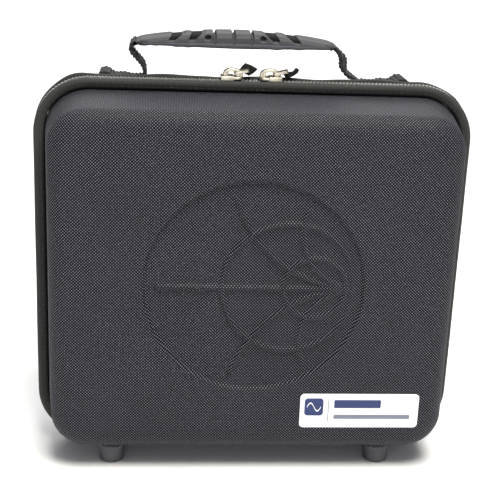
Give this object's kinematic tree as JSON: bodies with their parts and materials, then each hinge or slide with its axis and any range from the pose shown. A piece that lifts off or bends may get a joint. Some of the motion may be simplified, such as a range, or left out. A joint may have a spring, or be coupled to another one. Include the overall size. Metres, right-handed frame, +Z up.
{
  "type": "moulded carry case",
  "caption": "Hard-sided zippered carry case for hand-held test equipment, with a moulded grip handle, rubber feet and an opening lid.",
  "frame": {"origin": "ground level under the middle of the case, on the plane where the zip closes", "axes": "+Z up, +Y to the back (handle side), +X to the right seen from the front"},
  "size_m": [0.3, 0.1043, 0.3005],
  "materials": {
    "shell_cloth": "black ballistic nylon laminated on moulded foam board",
    "binding_cloth": "black woven bias tape",
    "zip_cloth": "black woven zip tape",
    "zip_coil": "black nylon coil",
    "lining_cloth": "brushed knit lining",
    "insert_foam": "charcoal closed-cell foam",
    "strap_webbing": "black ribbed webbing",
    "backing_plastic": "black sheet plastic",
    "foot_rubber": "moulded rubber, satin",
    "screw_steel": "zinc-plated steel",
    "net_cloth": "black net",
    "elastic_hem": "black woven elastic",
    "badge_plastic": "printed white plastic label",
    "grip_rubber": "moulded soft grip, satin",
    "slider_metal": "nickel-plated zinc",
    "pull_cloth": "black folded cord"
  },
  "bodies": {
    "rear_case": {"rear_shell": "shell_cloth", "rear_binding": "binding_cloth", "rear_zip_tape": "zip_cloth", "rear_zip_teeth": "zip_coil", "rear_lining": "lining_cloth", "foam_base": "insert_foam", "foam_frame": "insert_foam", "foam_divider_left": "insert_foam", "foam_divider_right": "insert_foam", "foam_divider_cross": "insert_foam", "hinge_tape": "binding_cloth", "handle_anchor_left": "strap_webbing", "handle_anchor_right": "strap_webbing", "handle_backing_plate": "backing_plastic", "rear_foot_left": "foot_rubber", "rear_foot_right": "foot_rubber", "rear_foot_screws": "screw_steel", "rear_foot_nuts": "screw_steel"},
    "lid": {"front_shell": "shell_cloth", "front_binding": "binding_cloth", "front_zip_tape": "zip_cloth", "front_zip_teeth": "zip_coil", "front_lining": "lining_cloth", "mesh_pocket": "net_cloth", "pocket_hem": "elastic_hem", "name_badge": "badge_plastic", "front_foot_left": "foot_rubber", "front_foot_right": "foot_rubber", "front_foot_screws": "screw_steel", "front_foot_nuts": "screw_steel"},
    "handle": {"handle_grip": "grip_rubber", "handle_webbing": "strap_webbing"},
    "left_slider": {"left_slider": "slider_metal"},
    "right_slider": {"right_slider": "slider_metal"},
    "left_pull": {"left_pull_tab": "slider_metal", "left_pull_cord": "pull_cloth"},
    "right_pull": {"right_pull_tab": "slider_metal", "right_pull_cord": "pull_cloth"}
  },
  "joints": [
    {"name": "lid_hinge", "type": "hinge", "parent": "rear_case", "child": "lid", "pos_m": [0, 0, 0.0051], "axis": [1, 0, 0], "range_deg": [0, 145], "deforming": ["hinge_tape"]},
    {"name": "handle_swing", "type": "hinge", "parent": "rear_case", "child": "handle", "pos_m": [0, 0.022, 0.26562], "axis": [1, 0, 0], "range_deg": [-74, 7]},
    {"name": "left_slider_travel", "type": "slide", "parent": "rear_case", "child": "left_slider", "axis": [1, 0, 0], "range_m": [-0.086, 0]},
    {"name": "right_slider_travel", "type": "slide", "parent": "rear_case", "child": "right_slider", "axis": [1, 0, 0], "range_m": [0, 0.094]},
    {"name": "left_pull_swing", "type": "hinge", "parent": "left_slider", "child": "left_pull", "pos_m": [-0.0144, 0, 0.2751], "axis": [0, -1, 0], "range_deg": [0, 125]},
    {"name": "right_pull_swing", "type": "hinge", "parent": "right_slider", "child": "right_pull", "pos_m": [0.012, 0, 0.2751], "axis": [0, -1, 0], "range_deg": [0, 95]}
  ]
}
